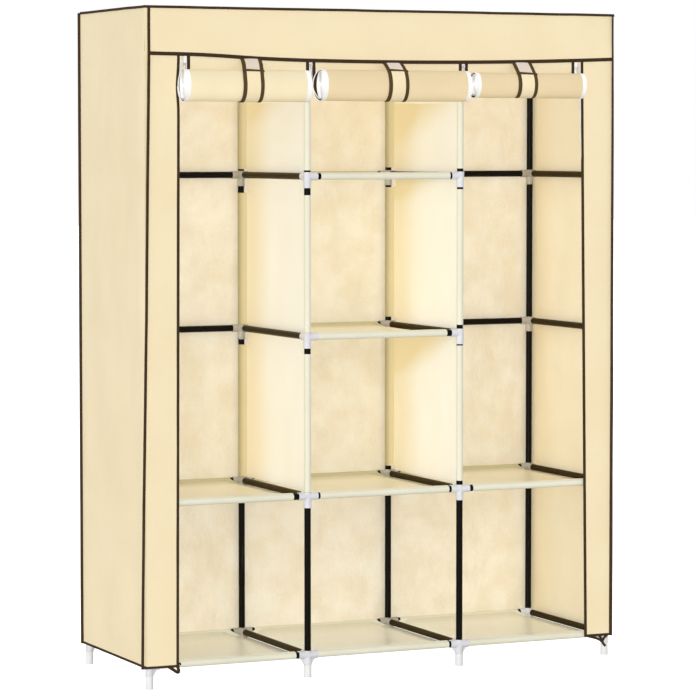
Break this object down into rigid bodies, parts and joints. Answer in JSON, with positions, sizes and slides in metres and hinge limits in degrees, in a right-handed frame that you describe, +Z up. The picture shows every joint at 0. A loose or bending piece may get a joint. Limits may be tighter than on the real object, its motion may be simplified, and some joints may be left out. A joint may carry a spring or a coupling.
{
  "type": "portable fabric wardrobe",
  "caption": "Free-standing fabric wardrobe: tube frame in plastic connectors, cloth cover, cloth shelves and partitions, hanging spaces, and roll-up front doors with straps and zips.",
  "frame": {"origin": "on the floor, at the middle of the overall box", "axes": "+X to the right seen from the front, +Y to the back, +Z up; the doors open at -Y"},
  "size_m": [1.25, 0.4822, 1.6025],
  "materials": {
    "tube": "black satin coating",
    "front_connector": "white moulded plastic",
    "rear_connector": "the same plastic in the shade, greyish",
    "cover_cloth": "cream non-woven cloth",
    "lining_cloth": "thin cream non-woven cloth, slightly creased",
    "shelf_cloth": "coated cream cloth with a low sheen",
    "strap_cloth": "cream non-woven cloth",
    "binding": "dark brown woven binding tape",
    "zip_tape": "white zip tape with plastic teeth",
    "zip_slider": "pale cast metal"
  },
  "bodies": {
    "frame_and_cover": {"upright_front_1": "tube", "upright_front_2": "tube", "upright_front_3": "tube", "upright_front_4": "tube", "upright_back_1": "tube", "upright_back_2": "tube", "upright_back_3": "tube", "upright_back_4": "tube", "base_frame": "front_connector", "top_frame": "tube", "front_rail_1": "front_connector", "front_rail_2": "front_connector", "front_rail_3": "front_connector", "back_rail_1": "rear_connector", "back_rail_2": "rear_connector", "back_rail_3": "rear_connector", "depth_tube_1_1": "tube", "depth_tube_1_2": "tube", "depth_tube_1_3": "tube", "depth_tube_1_4": "tube", "depth_tube_2_1": "tube", "depth_tube_2_2": "tube", "depth_tube_2_3": "tube", "depth_tube_2_4": "tube", "depth_tube_3_1": "tube", "depth_tube_3_2": "tube", "depth_tube_3_3": "tube", "depth_tube_3_4": "tube", "hanging_rail_left": "tube", "hanging_rail_right": "tube", "shelf_left_1": "shelf_cloth", "shelf_left_2": "shelf_cloth", "shelf_middle_1": "shelf_cloth", "shelf_middle_2": "shelf_cloth", "shelf_middle_3": "shelf_cloth", "shelf_middle_4": "shelf_cloth", "shelf_right_1": "shelf_cloth", "shelf_right_2": "shelf_cloth", "partition_left": "lining_cloth", "partition_right": "lining_cloth", "cover_left": "cover_cloth", "cover_right": "cover_cloth", "cover_back": "lining_cloth", "cover_top": "cover_cloth", "valance": "cover_cloth", "jamb_left": "cover_cloth", "jamb_right": "cover_cloth", "door_panel_left": "cover_cloth", "door_panel_middle": "cover_cloth", "door_panel_right": "cover_cloth"},
    "door_left": {"door_roll_left": "cover_cloth"},
    "door_middle": {"door_roll_middle": "cover_cloth"},
    "door_right": {"door_roll_right": "cover_cloth"},
    "strap_left_body": {"strap_left": "strap_cloth"},
    "strap_middle_body": {"strap_middle": "strap_cloth"},
    "strap_right_body": {"strap_right": "strap_cloth"},
    "slider_1": {"zip_slider_1": "zip_slider"},
    "slider_2": {"zip_slider_2": "zip_slider"},
    "slider_3": {"zip_slider_3": "zip_slider"},
    "slider_4": {"zip_slider_4": "zip_slider"}
  },
  "joints": [
    {"name": "door_left_lower", "type": "slide", "parent": "frame_and_cover", "child": "door_left", "axis": [0, 0, -1], "range_m": [0, 1.33], "deforming": ["door_panel_left"]},
    {"name": "door_middle_lower", "type": "slide", "parent": "frame_and_cover", "child": "door_middle", "axis": [0, 0, -1], "range_m": [0, 1.33], "deforming": ["door_panel_middle"]},
    {"name": "door_right_lower", "type": "slide", "parent": "frame_and_cover", "child": "door_right", "axis": [0, 0, -1], "range_m": [0, 1.33], "deforming": ["door_panel_right"]},
    {"name": "strap_left_open", "type": "hinge", "parent": "frame_and_cover", "child": "strap_left_body", "pos_m": [-0.36275, -0.19, 1.4782], "axis": [-1, 0, 0], "range_deg": [0, 100]},
    {"name": "strap_middle_open", "type": "hinge", "parent": "frame_and_cover", "child": "strap_middle_body", "pos_m": [0.012, -0.19, 1.4782], "axis": [-1, 0, 0], "range_deg": [0, 100]},
    {"name": "strap_right_open", "type": "hinge", "parent": "frame_and_cover", "child": "strap_right_body", "pos_m": [0.36575, -0.19, 1.4782], "axis": [-1, 0, 0], "range_deg": [0, 100]},
    {"name": "slider_1_slide", "type": "slide", "parent": "frame_and_cover", "child": "slider_1", "axis": [0, 0, -1], "range_m": [0, 1.4]},
    {"name": "slider_2_slide", "type": "slide", "parent": "frame_and_cover", "child": "slider_2", "axis": [0, 0, -1], "range_m": [0, 1.4]},
    {"name": "slider_3_slide", "type": "slide", "parent": "frame_and_cover", "child": "slider_3", "axis": [0, 0, -1], "range_m": [0, 1.4]},
    {"name": "slider_4_slide", "type": "slide", "parent": "frame_and_cover", "child": "slider_4", "axis": [0, 0, -1], "range_m": [0, 1.4]}
  ]
}
